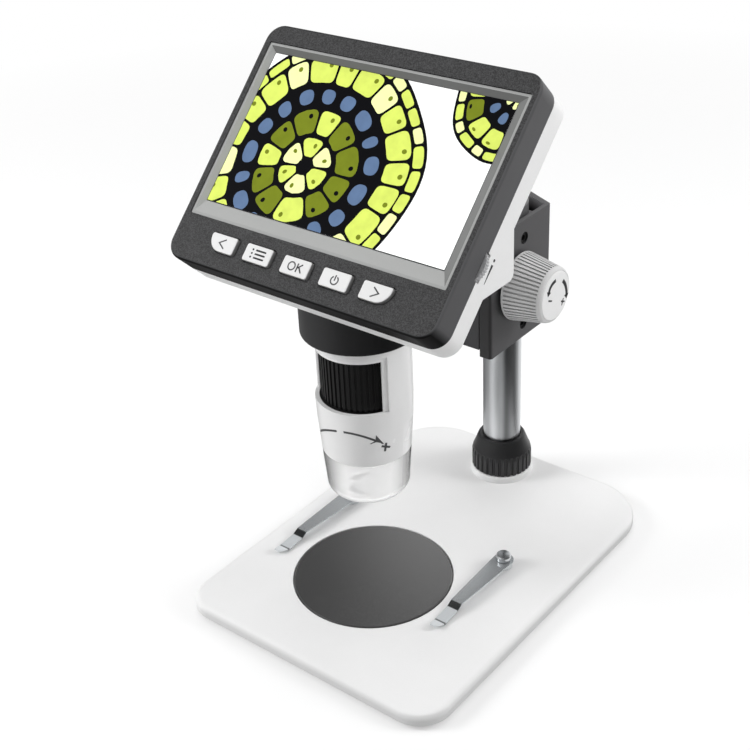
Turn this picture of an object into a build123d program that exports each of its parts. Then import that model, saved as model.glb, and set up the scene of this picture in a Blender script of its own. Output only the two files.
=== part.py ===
"""A desk microscope: a tilted colour screen over a lens tube that a rack lift carries on a pillar."""
import os
from math import acos, cos, pi, radians, sin, tan

from build123d import *

os.makedirs("parts", exist_ok=True)

# base and stage, X across, Y back, Z up; x = 0 is the plane of lens, stage and pillar
base_centre_x = 6.1
base_width, base_depth = 110.0, 148.2
base_front_corner, base_rear_corner = 12.0, 22.0
base_low, base_top, base_skin, base_wall = 0.8, 6.0, 2.0, 2.2
cover_thick = 1.0
stage_y, stage_radius, stage_top = -24.4, 28.8, 6.15
clip_studs = ((35.8, 7.0), (-35.2, 7.0))
clip_eye, clip_thick, clip_level = 3.7, 0.5, 8.75

# pillar and its locking ring
pillar_y, pillar_radius, pillar_bore, pillar_top = 59.6, 7.35, 5.6, 117.5
boss_radius, boss_top = 12.3, 8.6
ring_low, ring_top, ring_radius, ring_flutes = 8.8, 23.0, 11.8, 30

# bracket channel around the pillar
channel_half, channel_wall, channel_low, channel_top = 14.0, 1.8, 74.0, 121.0
channel_front, channel_back, channel_ridge, lip_inner = 31.0, 69.5, 76.0, 9.2
side_screw_y, side_screw_levels = 52.3, (79.6, 114.0)

# focus drive: a pinion on the knob shaft turns a rack on the carriage
shaft_y, shaft_z, shaft_radius, shaft_half = 47.8, 97.4, 2.5, 28.0
gear_module, gear_teeth, pressure, backlash = 0.5, 14, radians(20), 0.06
rack_add, rack_ded, pinion_add, pinion_ded = 0.38, 0.6, 0.45, 0.53
knob_inner, knob_outer, knob_ribs, knob_cap_radius = 15.0, 30.0, 48, 9.2

# lens tube on its own axis
tube_y = -23.73
tube_radius, tube_bore, tube_low, tube_top = 16.5, 15.0, 63.7, 122.0
tube_tip_radius, tube_tip_bore, tube_step = 15.4, 13.9, 82.0
window_low, window_top, window_half = 84.2, 103.2, radians(62.5)
window_rim, rim_top, rim_half = 15.7, 104.8, radians(68.5)
focus_radius = 14.2
collar_radius, collar_low, collar_top = 20.0, 108.5, 150.0
cap_low, cap_foot = 46.5, 14.1

# screen head, in its own frame: u across, v up the face, n out of the face
face_y, face_z, face_tilt = -27.06, 164.22, radians(45)
head_width, head_height, head_corner = 105.7, 84.4, 6.0
bezel_back, shell_back, head_wall = -9.5, -17.0, 2.0
picture_width, picture_height = 93.8, 53.4
picture_u, picture_v = -0.6, 6.1
screen_width, screen_height = 100.8, 62.2
screen_u, screen_v = 0.2, 4.5
key_v, key_width, key_height, key_proud = -33.5, 10.8, 5.8, 1.1
key_columns = {"back": -31.1, "menu": -16.2, "ok": -0.8, "power": 14.6, "next": 29.8}
wheel_u, wheel_v, wheel_radius = 47.05, -15.0, 7.0

head_frame = Plane(
    origin=(0, face_y, face_z), x_dir=(1, 0, 0), z_dir=(0, -cos(face_tilt), sin(face_tilt))
).location


def write(name, shape):
    """Writes one node's file."""
    export_step(shape, f"parts/{name}.step")
    print(name, round(sum(s.volume for s in shape.solids())))


def box(x0, x1, y0, y1, z0, z1):
    """A block between two corners."""
    return Pos((x0 + x1) / 2, (y0 + y1) / 2, (z0 + z1) / 2) * Box(x1 - x0, y1 - y0, z1 - z0)


def disc(radius, low, high, x=0.0, y=0.0):
    """An upright cylinder."""
    return Pos(x, y, (low + high) / 2) * Cylinder(radius, high - low)


def rod(radius, x0, x1, y, z):
    """A cylinder along X."""
    return Pos((x0 + x1) / 2, y, z) * Rot(0, 90, 0) * Cylinder(radius, abs(x1 - x0))


def pin(radius, y0, y1, x, z):
    """A cylinder along Y."""
    return Pos(x, (y0 + y1) / 2, z) * Rot(90, 0, 0) * Cylinder(radius, abs(y1 - y0))


def turned(profile, x=0.0, y=0.0):
    """A body of revolution about an upright axis from (radius, z) points."""
    outline = make_face(Polyline(*[(r, 0, z) for r, z in profile], close=True))
    return Pos(x, y, 0) * revolve(outline, Axis.Z)


def side_prism(profile, x0, x1):
    """A prism along X from (y, z) points."""
    outline = make_face(Polyline(*[(x0, y, z) for y, z in profile], close=True))
    return extrude(outline, amount=x1 - x0, dir=(1, 0, 0))


def plan_prism(profile, low, high):
    """A prism along Z from (x, y) points."""
    outline = make_face(Polyline(*[(x, y, low) for x, y in profile], close=True))
    return extrude(outline, amount=high - low, dir=(0, 0, 1))


def slab(width, depth, corner, low, high, x=0.0, y=0.0):
    """A plate with rounded corners."""
    return Pos(x, y, low) * extrude(RectangleRounded(width, depth, corner), amount=high - low)


def around(count, shape, axis_x=0.0, axis_y=0.0):
    """Copies of a shape turned about an upright axis."""
    at = Pos(axis_x, axis_y, 0)
    return [at * Rot(0, 0, 360 * k / count) * shape for k in range(count)]


def cut_all(shape, tools):
    """Takes many tools from a shape at once."""
    return shape.cut(*[s for tool in tools for s in tool.solids()])


def one(shape):
    """The largest solid of a result."""
    return max(shape.solids(), key=lambda s: s.volume)


def group(shapes):
    """Several solids as one node."""
    return Compound([s for shape in shapes for s in shape.solids()])


# ---- base -------------------------------------------------------------------------------
cover_posts = [
    (base_centre_x + sx * (base_width / 2 - 13), sy * (base_depth / 2 - 13))
    for sx in (-1, 1) for sy in (-1, 1)
]
cover_top = base_low + cover_thick
skin_low = base_top - base_skin


def base_slab(inset, low, high):
    """A level of the base, drawn in from its outline; the rear corners are rounder."""
    outline = Rectangle(base_width - 2 * inset, base_depth - 2 * inset)
    outline = fillet(outline.vertices().group_by(Axis.Y)[0], base_front_corner - inset)
    outline = fillet(outline.vertices().group_by(Axis.Y)[-1], base_rear_corner - inset)
    return Pos(base_centre_x, 0, low) * extrude(outline, amount=high - low)


def base_plate():
    """The moulded tray with the stage recess and the pillar boss."""
    tray = base_slab(0, base_low, base_top)
    tray = fillet(tray.faces().sort_by(Axis.Z)[-1].edges(), 2.2)
    tray = chamfer(tray.faces().sort_by(Axis.Z)[0].edges(), 1.2)
    tray -= base_slab(base_wall, base_low - 1, skin_low)
    tray += disc(31.0, 2.3, skin_low + 0.5, 0, stage_y)
    tray -= disc(stage_radius + 0.45, 3.9, base_top + 1, 0, stage_y)
    boss = disc(boss_radius, cover_top + 0.1, boss_top, 0, pillar_y)
    tray += fillet(boss.faces().sort_by(Axis.Z)[-1].edges(), 0.8)
    tray -= disc(8.5, base_low - 1, 5.0, 0, pillar_y)
    tray -= disc(4.3, 4.9, boss_top + 1, 0, pillar_y)
    for x, y in cover_posts:
        tray += disc(3.2, cover_top + 0.1, skin_low + 0.5, x, y)
        tray -= disc(1.15, cover_top, skin_low, x, y)
    for x, y in clip_studs:
        tray -= disc(1.55, 3, base_top + 1, x, y)
    return one(tray)


def base_weight():
    """The steel plate that keeps the stand from tipping."""
    plate = base_slab(3.0, 2.0, 3.6)
    plate -= disc(31.6, 1, 5, 0, stage_y)
    plate -= disc(boss_radius + 0.6, 1, 5, 0, pillar_y)
    for x, y in cover_posts:
        plate -= disc(3.8, 1, 5, x, y)
    for x, y in clip_studs:
        plate -= disc(4.2, 1, 5, x, y)
    return one(plate)


def base_cover():
    """The flat cover under the tray."""
    cover = base_slab(base_wall + 0.2, base_low, cover_top)
    for x, y in cover_posts:
        cover -= disc(2.5, 0, 2, x, y)
    return one(cover)


write("base_plate", base_plate())
write("base_weight", base_weight())
write("base_cover", base_cover())
write("rubber_mat", base_slab(7.0, 0, base_low))
write("cover_screws", group(
    disc(2.2, 0.9, cover_top, x, y) + disc(1.1, cover_top - 0.1, 3.8, x, y)
    - (Pos(x, y, 1.1) * Box(2.6, 0.5, 0.5)) - (Pos(x, y, 1.1) * Box(0.5, 2.6, 0.5))
    for x, y in cover_posts
))
stage = disc(stage_radius, 3.95, stage_top, 0, stage_y)
write("stage_disc", one(chamfer(stage.faces().sort_by(Axis.Z)[-1].edges(), 0.3)))


# ---- specimen clips ----------------------------------------------------------------------
def clip_stud(x, y):
    """A shouldered screw that a clip turns on."""
    low, high = clip_level - clip_thick / 2 - 0.2, clip_level + clip_thick / 2 + 0.2
    return turned([
        (0, 2.4), (1.5, 2.4), (1.5, base_top), (3.2, base_top), (3.2, low), (1.55, low),
        (1.55, high), (2.8, high), (2.8, 10.8), (2.4, 11.3), (0, 11.4),
    ], x, y)


def bent_strip(path, width, thick):
    """A flat spring along (y, z) points, width along X."""
    strip = None
    for (y0, z0), (y1, z1) in zip(path, path[1:]):
        length = ((y1 - y0) ** 2 + (z1 - z0) ** 2) ** 0.5
        dy, dz = (y1 - y0) / length, (z1 - z0) / length
        ny, nz = -dz * thick / 2, dy * thick / 2
        leg = side_prism([(y0 + ny, z0 + nz), (y1 + ny, z1 + nz), (y1 - ny, z1 - nz),
                          (y0 - ny, z0 - nz)], -width / 2, width / 2)
        knee = rod(thick / 2, -width / 2, width / 2, y1, z1)
        strip = leg + knee if strip is None else strip + leg + knee
    return strip


def clip_spring(x, y, turn):
    """A leaf clip that narrows from its eye: flat arm, a step down and a lifted tip."""
    path = [(0, clip_level), (-29.1, clip_level), (-31.4, 7.5), (-38.7, 6.6), (-43.0, 7.9)]
    half_widths = [(0, clip_eye), (-29.1, 2.15), (-38.7, 2.2), (-42.2, 1.5), (-43.3, 0.9)]
    outline = [(w, y) for y, w in half_widths] + [(-w, y) for y, w in reversed(half_widths)]
    spring = bent_strip(path, 2 * clip_eye, clip_thick) & plan_prism(outline, 5, 12)
    spring += disc(clip_eye, clip_level - clip_thick / 2, clip_level + clip_thick / 2)
    spring -= disc(1.63, 8, 11)
    return one(Pos(x, y, 0) * Rot(0, 0, turn) * spring)


def hex_nut(x, y, low, high, across, bore):
    """A hexagon nut."""
    nut = Pos(x, y, low) * extrude(RegularPolygon(across / 2, 6, major_radius=False),
                                   amount=high - low)
    return nut - disc(bore, low - 1, high + 1, x, y)


write("clip_studs", group(clip_stud(x, y) for x, y in clip_studs))
write("clip_nuts", group(hex_nut(x, y, 2.5, 3.95, 5.4, 1.55) for x, y in clip_studs))
write("clip_right", clip_spring(*clip_studs[0], -0.7))
write("clip_left", clip_spring(*clip_studs[1], -2.0))


# ---- pillar ------------------------------------------------------------------------------
def lock_ring():
    """The fluted ring with a tapered crown around the pillar's foot."""
    bore = pillar_radius + 0.3
    body = turned([
        (bore, ring_low), (ring_radius - 0.2, ring_low), (ring_radius, ring_low + 0.2),
        (ring_radius, 15.4), (11.4, 17.0), (10.8, 18.3), (9.3, 22.2), (8.7, ring_top),
        (bore, ring_top),
    ], 0, pillar_y)
    flute = disc(0.62, ring_low - 1, 16.9, ring_radius - 0.1, 0)
    return one(cut_all(body, around(ring_flutes, flute, 0, pillar_y)))


write("pillar_tube", one(
    disc(pillar_radius, boss_top, pillar_top, 0, pillar_y)
    - disc(pillar_bore, boss_top - 1, pillar_top + 1, 0, pillar_y)
))
write("pillar_insert", one(
    disc(pillar_bore - 0.05, boss_top, 24, 0, pillar_y) - disc(4.05, boss_top - 1, 21, 0, pillar_y)
))
write("pillar_bolt", one(
    hex_nut(0, pillar_y, 1.95, 3.9, 12.0, 0.01).fuse(disc(3.99, 1.95, 20, 0, pillar_y))
))
write("pillar_washer", one(disc(8.0, 3.92, 4.98, 0, pillar_y) - disc(4.3, 3, 6, 0, pillar_y)))
write("pillar_cap", one(turned([
    (0, 108), (pillar_bore - 0.05, 108), (pillar_bore - 0.05, pillar_top), (9.3, pillar_top),
    (9.3, 122.5), (8.3, 123.5), (0, 123.8),
], 0, pillar_y)))
write("lock_ring", lock_ring())


# ---- bracket -----------------------------------------------------------------------------
def bracket_channel():
    """The extruded channel: side walls, a ridged back and two front lips."""
    half, inner = channel_half, channel_half - channel_wall
    lip_back = channel_front + channel_wall
    right = [(lip_inner, channel_front), (half, channel_front), (half, channel_back)]
    inside = [(inner, channel_back - 1.6), (inner, lip_back), (lip_inner, lip_back)]
    outline = right + [(0, channel_ridge)] + [(-x, y) for x, y in reversed(right)]
    outline += [(-x, y) for x, y in reversed(inside)] + [(0, channel_ridge - 2.75)] + inside
    channel = plan_prism(outline, channel_low, channel_top)
    upright = channel.edges().filter_by(Axis.Z)
    corners = [e for e in upright if abs(abs(e.center().X) - half) < 0.1]
    channel = fillet(corners, 1.2)
    ridge = [e for e in channel.edges().filter_by(Axis.Z)
             if abs(e.center().Y - channel_ridge) < 0.1]
    channel = fillet(ridge, 5.0)
    for level in side_screw_levels:
        channel -= rod(2.3, -half - 1, half + 1, side_screw_y, level)
    channel -= rod(4.3, -half - 1, half + 1, shaft_y, shaft_z)
    return one(channel)


def clamp_block(low, high):
    """A block that holds the pillar between the channel's walls."""
    reach = channel_half - channel_wall - 0.2
    block = box(-reach, reach, 46.0, 67.4, low, high)
    block -= disc(pillar_radius + 0.04, low - 1, high + 1, 0, pillar_y)
    level = min(side_screw_levels, key=lambda z: abs(z - (low + high) / 2))
    block -= rod(1.6, -13, 13, side_screw_y, level)
    return one(block)


def side_screw(side, level):
    """A socket screw sunk in the channel's wall."""
    screw = rod(2.2, side * 12.25, side * 13.4, side_screw_y, level)
    screw += rod(1.5, side * 5.5, side * 12.3, side_screw_y, level)
    return screw - rod(1.1, side * 12.6, side * 13.5, side_screw_y, level)


write("bracket_channel", bracket_channel())
write("clamp_blocks", group([clamp_block(74.8, 84.8), clamp_block(107.4, 117.3)]))
write("bracket_screws", group(side_screw(s, z) for s in (-1, 1) for z in side_screw_levels))
write("shaft_bushes", group(
    rod(4.25, s * 11.2, s * 14.0, shaft_y, shaft_z) - rod(shaft_radius + 0.06, s * 11, s * 15,
                                                          shaft_y, shaft_z)
    for s in (-1, 1)
))


# ---- focus drive -------------------------------------------------------------------------
pitch_radius = gear_module * gear_teeth / 2
tooth_pitch = pi * gear_module
rack_line = shaft_y - pitch_radius


def involute(angle):
    """The involute function."""
    return tan(angle) - angle


def pinion_outline():
    """The pinion's (y, z) outline with a tooth toward the rack."""
    base_radius = pitch_radius * cos(pressure)
    root, tip = pitch_radius - pinion_ded, pitch_radius + pinion_add
    flank = [base_radius + (tip - base_radius) * k / 4 for k in range(5)]

    def half_angle(radius):
        lead = involute(acos(min(1.0, base_radius / radius)))
        return pi / (2 * gear_teeth) + involute(pressure) - lead - backlash / 2 / pitch_radius

    points = []
    for tooth in range(gear_teeth):
        middle = pi + 2 * pi * tooth / gear_teeth
        rising = [(root, half_angle(base_radius))] + [(r, half_angle(r)) for r in flank]
        for radius, half in rising:
            points.append((radius, middle - half))
        for radius, half in reversed(rising):
            points.append((radius, middle + half))
    return [(shaft_y + r * cos(a), shaft_z + r * sin(a)) for r, a in points]


def rack_outline(low, high):
    """The rack's (y, z) outline with a space opposite the pinion's tooth."""
    root_y, tip_y = rack_line - rack_ded, rack_line + rack_add
    tip_half = tooth_pitch / 4 - rack_add * tan(pressure) - backlash / 2
    root_half = tooth_pitch / 4 + rack_ded * tan(pressure) - backlash / 2
    points = [(40.5, low), (root_y, low)]
    first = int((low - shaft_z) / tooth_pitch) - 1
    for k in range(first, first + 80):
        middle = shaft_z + (k + 0.5) * tooth_pitch
        if middle - root_half < low + 0.1 or middle + root_half > high - 0.1:
            continue
        points += [(root_y, middle - root_half), (tip_y, middle - tip_half),
                   (tip_y, middle + tip_half), (root_y, middle + root_half)]
    return points + [(root_y, high), (40.5, high)]


def knob_blank(cuts):
    """The right-hand focus knob on the upright axis, with a seat for its cap."""
    seat = knob_cap_radius + 0.05
    blank = turned([
        (shaft_radius + 0.05, knob_inner), (12.3, knob_inner), (12.8, knob_inner + 0.5),
        (12.7, 16.4), (10.45, 28.6), (10.2, 29.3), (9.8, 29.8), (seat, knob_outer),
        (seat, knob_outer - 1.3), (shaft_radius + 0.05, knob_outer - 1.3),
    ])
    return one(cut_all(blank, cuts))


def knob_groove():
    """One shallow groove that follows the knob's taper."""
    lean = 10.5
    groove = Box(0.9, 0.62, 12.4)
    return Pos(11.66, 0, 22.35) * Rot(0, -lean, 0) * groove


def on_shaft(shape, side):
    """Turns a shape from the upright axis onto the shaft, to one side."""
    return Pos(0, shaft_y, shaft_z) * Rot(0, side * 90, 0) * shape


knob = knob_blank(around(knob_ribs, knob_groove()))
pinion = side_prism(pinion_outline(), -4.0, 4.0)
write("pinion_shaft", one(pinion + rod(shaft_radius, -shaft_half, shaft_half, shaft_y, shaft_z)))
write("knob_right", one(on_shaft(knob, 1)))
write("knob_left", one(on_shaft(knob, -1)))
knob_cap = disc(knob_cap_radius, knob_outer - 1.25, knob_outer + 0.25)
knob_cap = fillet(knob_cap.faces().sort_by(Axis.Z)[-1].edges(), 0.5)
write("knob_caps", group([on_shaft(knob_cap, 1), on_shaft(knob_cap, -1)]))
write("focus_rack", one(side_prism(rack_outline(78.0, 134.0), -3.0, 3.0)))


# ---- carriage and collar -----------------------------------------------------------------
def head_block(grow=0.0):
    """The head's outer volume behind the bezel."""
    plate = slab(head_width + 2 * grow, head_height + 2 * grow, head_corner, shell_back - grow,
                 bezel_back)
    back_y, back_z = face_y - shell_back * cos(face_tilt), face_z + shell_back * sin(face_tilt)
    low = (back_y - 22.0 * sin(face_tilt), back_z - 22.0 * cos(face_tilt))
    high = (back_y + 2.8 * sin(face_tilt), back_z + 2.8 * cos(face_tilt))
    rear, floor = -14.5 + grow, 136.5 - grow
    wedge = side_prism([
        (low[0] - 2, floor), (rear, floor), (rear, high[1] - 1.2), (high[0] - 2, high[1]),
        (high[0] - 5, high[1] - 1), (low[0] - 4, floor + 3),
    ], -head_width / 2 - grow, head_width / 2 + grow)
    return head_frame * plate, wedge


def arm_screw(x, z):
    """A screw through the carriage into the arm."""
    return pin(2.6, 38.0, 40.4, x, z) + pin(1.5, 22.0, 38.1, x, z) - pin(1.2, 39.2, 41, x, z)


arm_screw_places = [(sx * 5.9, z) for sx in (-1, 1) for z in (122.5, 131.5)]


def lift_carriage():
    """The sliding block: a tongue between the lips and wings behind them."""
    block = box(-8.8, 8.8, channel_front, 36, 76.6, 136.6)
    block += box(-11.8, 11.8, 33.1, 40.45, 76.6, 136.6)
    for x, z in arm_screw_places:
        block -= pin(2.7, 37.95, 41, x, z)
        block -= pin(1.55, 30, 39, x, z)
    return one(block)


def tube_collar():
    """The casting that grips the tube, with the arm back to the carriage."""
    collar = disc(collar_radius, collar_low, collar_top, 0, tube_y)
    collar = fillet(collar.faces().sort_by(Axis.Z)[0].edges(), 0.6)
    arm = box(-8.2, 8.2, tube_y + 10, channel_front - 0.05, 118.0, 136.0)
    arm = fillet(arm.edges().filter_by(Axis.Y), 1.5)
    collar += arm
    collar -= disc(tube_radius + 0.05, collar_low - 1, 124.0, 0, tube_y)
    collar -= disc(5.0, 123.0, collar_top + 1, 0, tube_y)
    for solid in head_block(0.05):
        collar -= solid
    for x, z in arm_screw_places:
        collar -= pin(1.55, 21, 32, x, z)
    for x in (-11.0, 11.0):
        collar -= disc(1.55, 127, 140, x, -22.5)
    return one(collar)


write("lift_carriage", lift_carriage())
write("tube_collar", tube_collar())
write("arm_screws", group(arm_screw(x, z) for x, z in arm_screw_places))
write("collar_screws", group(
    disc(2.6, 138.6, 140.6, x, -22.5) + disc(1.5, 128, 138.7, x, -22.5)
    - (Pos(x, -22.5, 140.4) * Box(3, 0.7, 0.9)) for x in (-11.0, 11.0)
))


# ---- lens tube ---------------------------------------------------------------------------
def tube_sector(half, low, high):
    """A wedge from the tube's axis out through its window."""
    rays = (-half, 0, half)
    return plan_prism([(0, tube_y)] + [(40 * sin(a), tube_y - 40 * cos(a)) for a in rays], low, high)


def tube_shell():
    """The white tube with a stepped window over the focus ring."""
    shell = turned([
        (tube_bore, tube_top), (tube_radius, tube_top), (tube_radius, 84.0), (16.25, 76.0),
        (tube_tip_radius, tube_low), (tube_tip_bore, tube_low), (tube_tip_bore, tube_step),
        (tube_bore, tube_step),
    ], 0, tube_y)
    rim = tube_sector(rim_half, window_low, rim_top) - disc(window_rim, 80, 110, 0, tube_y)
    return one(shell - tube_sector(window_half, window_low, window_top) - rim)


def focus_ring():
    """The ribbed ring that drives the lens barrel."""
    low, high = 84.3, 103.6
    blank = turned([(10.2, low), (focus_radius - 0.4, low), (focus_radius, low + 0.4),
                    (focus_radius, high - 0.4), (focus_radius - 0.4, high), (10.2, high)])
    groove = Pos(focus_radius, 0, (low + high) / 2) * Box(0.9, 0.9, high - low + 1)
    return one(Pos(0, tube_y, 0) * cut_all(blank, around(48, groove)))


def lens_barrel():
    """The barrel: a snout for the lenses and a wide nut inside the ring."""
    return one(turned([
        (4.2, 60.0), (5.3, 60.0), (5.5, 60.4), (5.5, 88.0), (9.9, 88.0), (9.9, 100.0),
        (6.5, 100.0), (6.5, 90.0), (4.2, 88.0), (4.2, 75.0), (3.4, 75.0), (3.4, 68.0), (4.2, 68.0),
    ], 0, tube_y))


def rounded_rim(shape, level, radius):
    """Rounds the widest circle at one level."""
    rim = [e for e in shape.edges() if abs(e.center().Z - level) < 0.01]
    return fillet(max(rim, key=lambda e: e.length), radius)


def front_cap():
    """The clear nose with a round opening, spigoted into the tube."""
    nose = turned([
        (13.85, tube_low + 0.9), (13.85, tube_low), (tube_tip_radius, tube_low),
        (cap_foot, cap_low), (9.0, cap_low), (9.0, cap_low + 1.5), (12.35, cap_low + 1.5),
        (13.2, 57.0), (12.7, tube_low + 0.9),
    ], 0, tube_y)
    return one(rounded_rim(rounded_rim(nose, cap_low, 3.5), cap_low + 1.5, 2.0))


write("tube_shell", tube_shell())
write("focus_ring", focus_ring())
write("lens_barrel", lens_barrel())
write("lens_glasses", group([
    turned([(0, 60.6), (2.5, 60.8), (4.15, 61.4), (4.15, 62.6), (0, 62.6)], 0, tube_y),
    disc(4.15, 64.4, 66.2, 0, tube_y),
    disc(4.15, 78.0, 80.2, 0, tube_y),
]))
write("barrel_guide", one(turned([
    (5.56, 72.0), (8.0, 72.0), (8.0, tube_step), (tube_bore - 0.05, tube_step),
    (tube_bore - 0.05, 83.9), (5.56, 83.9),
], 0, tube_y)))
write("front_cap", front_cap())
write("led_board", one(
    disc(tube_tip_bore - 0.05, 65.3, 66.5, 0, tube_y) - disc(6.4, 65, 67, 0, tube_y)
))
write("ring_leds", group(around(8, box(8.4, 11.2, -1.4, 1.4, 64.3, 65.3), 0, tube_y)))
write("sensor_holder", one(
    disc(tube_bore - 0.05, 104.0, 107.0, 0, tube_y)
    - box(-5.5, 5.5, tube_y - 5.5, tube_y + 5.5, 103, 108)
))
write("sensor_board", box(-10.5, 10.5, tube_y - 10.0, tube_y + 10.0, 107.05, 108.4))
write("image_sensor", box(-4.0, 4.0, tube_y - 4.0, tube_y + 4.0, 105.9, 107.05))


# ---- screen head, in the face frame -------------------------------------------------------
post_places = [(su * 46.5, sv * 37.2) for su in (-1, 1) for sv in (-1, 1)]


def key_outline(name, grow=0.0):
    """A key's rounded outline; the outer two swell at their lower outer corner."""
    width, height = key_width + 2 * grow, key_height + 2 * grow
    plate = Pos(key_columns[name], key_v, 0) * RectangleRounded(width, height, 0.8 + grow)
    side = {"back": -1, "next": 1}.get(name)
    if side is None:
        return plate
    corner = 5.0 + grow
    x = key_columns[name] + side * (width / 2 - corner)
    y = key_v - height / 2 + corner
    square = Pos(x + side * corner / 2, y - corner / 2) * Rectangle(corner, corner)
    return plate - (square - Pos(x, y) * Circle(corner))


def front_bezel():
    """The dark front: a tray with the screen opening and five key openings."""
    tray = slab(head_width, head_height, head_corner, bezel_back, 0)
    tray = fillet(tray.faces().sort_by(Axis.Z)[-1].edges(), 1.0)
    tray -= slab(head_width - 2 * head_wall, head_height - 2 * head_wall,
                 head_corner - head_wall, bezel_back - 1, -1.8)
    tray -= slab(screen_width, screen_height, 0.5, -3, 1, screen_u, screen_v)
    for name in key_columns:
        tray -= Pos(0, 0, -3) * extrude(key_outline(name, 0.3), amount=4)
    for u, v in post_places:
        tray += disc(2.4, bezel_back + 0.05, -1.8, u, v)
        tray -= disc(1.05, bezel_back - 1, -3.5, u, v)
    tray -= disc(wheel_radius + 0.35, -12, -8.3, wheel_u, wheel_v)
    tray -= box(-54, -50, 10.2, 17.4, -12, -8.3)
    tray -= box(-54, -50, -6.6, 4.6, -10.2, -8.8)
    return one(head_frame * tray)


def rear_shell():
    """The white rear: a tray with the wedge that sits on the tube."""
    plate, wedge = head_block()
    shell = plate + wedge
    rim = [e for e in shell.edges().filter_by(Axis.X)
           if abs(e.center().Y + 14.5) < 0.3 and e.center().Z < 137]
    shell = fillet(rim, 2.5)
    hollow = slab(head_width - 2 * head_wall, head_height - 2 * head_wall,
                  head_corner - head_wall, shell_back + head_wall, 5)
    shell -= head_frame * hollow
    back_y = face_y - (shell_back + 3) * cos(face_tilt)
    back_z = face_z + (shell_back + 3) * sin(face_tilt)
    shell -= side_prism([
        (back_y - 14.6, 138.5), (-16.5, 138.5), (-16.5, 151.6),
        (back_y + 4, back_z + 4), (back_y - 13.4, back_z - 13.4),
    ], -head_width / 2 + head_wall, head_width / 2 - head_wall)
    for u, v in post_places:
        shell += head_frame * disc(2.9, shell_back + 1, bezel_back - 0.05, u, v)
        shell -= head_frame * disc(1.3, shell_back - 1, 0, u, v)
        shell -= head_frame * disc(2.3, shell_back - 1, shell_back + 1.6, u, v)
    shell -= head_frame * disc(wheel_radius + 0.35, -10.95, -8, wheel_u, wheel_v)
    shell -= head_frame * box(-54, -50, 10.2, 17.4, -11.4, -8)
    shell -= head_frame * box(-54, -50, -6.6, 4.6, -10.2, -8)
    for x in (-11.0, 11.0):
        shell -= disc(1.55, 135, 139, x, -22.5)
    return one(shell)


def screen_surround():
    """The sloped grey frame between the bezel and the picture."""
    frame = slab(screen_width - 0.2, screen_height - 0.2, 0.4, -1.8, -0.35, screen_u, screen_v)
    picture = Pos(picture_u, picture_v, -1.9) * Rectangle(picture_width, picture_height)
    mouth = Pos(screen_u, screen_v, -0.3) * Rectangle(screen_width - 1.8, screen_height - 1.8)
    return one(head_frame * (frame - loft([picture, mouth])))


def key_cap(name):
    """One key: a proud cap, a flange under the bezel and a stem over its switch."""
    cap = Pos(0, 0, -3.2) * extrude(key_outline(name), amount=3.2 + key_proud)
    cap = fillet(cap.faces().sort_by(Axis.Z)[-1].edges(), 0.45)
    cap += Pos(0, 0, -3.2) * extrude(key_outline(name, 0.9), amount=1.1)
    cap += disc(1.5, -4.1, -3.1, key_columns[name], key_v)
    return one(head_frame * cap)


def key_switch(u):
    """A small push switch on the board."""
    return (box(u - 3, u + 3, key_v - 3, key_v + 3, -7.0, -5.1)
            + disc(1.6, -5.2, -4.95, u, key_v))


def main_board():
    """The circuit board behind the screen."""
    board = box(-49, 49, -38.5, 33.5, -8.4, -7.0)
    for u, v in post_places[::2]:
        board -= disc(3.3, -9, -6, u, v)
    board -= disc(1.5, -9, -6, wheel_u, wheel_v)
    return one(head_frame * board)


def battery_cell():
    """A flat pouch cell behind the board."""
    cell = box(-32, 32, -11.0, 33.0, -14.4, -8.9)
    return one(head_frame * fillet(cell.edges().filter_by(Axis.Y), 1.8))


def shell_screw(u, v):
    """A screw through the rear shell into a bezel post."""
    screw = disc(2.2, -16.9, -15.5, u, v) + disc(1.0, -15.6, -4.5, u, v)
    return screw - (Pos(u, v, -16.8) * Box(2.4, 0.5, 0.6)) - (Pos(u, v, -16.8) * Box(0.5, 2.4, 0.6))


def dimmer_wheel():
    """The thumbwheel for the lamp ring, notched at its rim."""
    wheel = disc(wheel_radius, -10.6, -8.7, 0, 0) - disc(1.5, -12, -8, 0, 0)
    wheel = cut_all(wheel, around(44, Pos(wheel_radius, 0, -9.65) * Box(0.5, 0.45, 3)))
    return one(head_frame * (Pos(wheel_u, wheel_v, 0) * wheel))


board_parts = [
    box(-16, -4, -24, -12.5, -9.9, -8.4), box(2, 10, -22, -14, -9.6, -8.4),
    box(-30, -24, -24, -16, -9.4, -8.4), box(16, 26, -26, -20, -10.4, -8.4),
    box(-8, 8, -36.5, -32.5, -10.2, -8.4), box(28, 34, -34, -28, -9.6, -8.4),
    box(-40, -34, -34, -29, -10.8, -8.4), box(-26, -14, -34, -31, -9.3, -8.4),
]
write("front_bezel", front_bezel())
write("rear_shell", rear_shell())
write("screen_surround", screen_surround())
write("lcd_panel", head_frame * box(-50, 50, -24.5, 34.0, -3.25, -1.85))
write("lcd_backlight", head_frame * box(-50, 50, -24.5, 34.0, -6.3, -3.3))
write("main_board", main_board())
write("board_parts", group(head_frame * part for part in board_parts))
write("key_switches", group(head_frame * key_switch(u) for u in key_columns.values()))
write("battery_cell", battery_cell())
write("shell_screws", group(head_frame * shell_screw(u, v) for u, v in post_places))
write("usb_socket", head_frame * (
    box(-52.2, -46.6, 10.4, 17.2, -11.2, -8.45) - box(-53, -47.4, 11.0, 16.6, -10.8, -8.85)
))
write("card_socket", head_frame * (
    box(-50.6, -36.5, -8.0, 6.0, -10.4, -8.45) - box(-51, -38, -6.6, 4.6, -10.0, -8.9)
))
write("dimmer_control", head_frame * (
    disc(3.4, -13.2, -10.9, wheel_u, wheel_v) + disc(1.42, -11.0, -6.9, wheel_u, wheel_v)
))
write("dimmer_wheel", dimmer_wheel())
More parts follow.
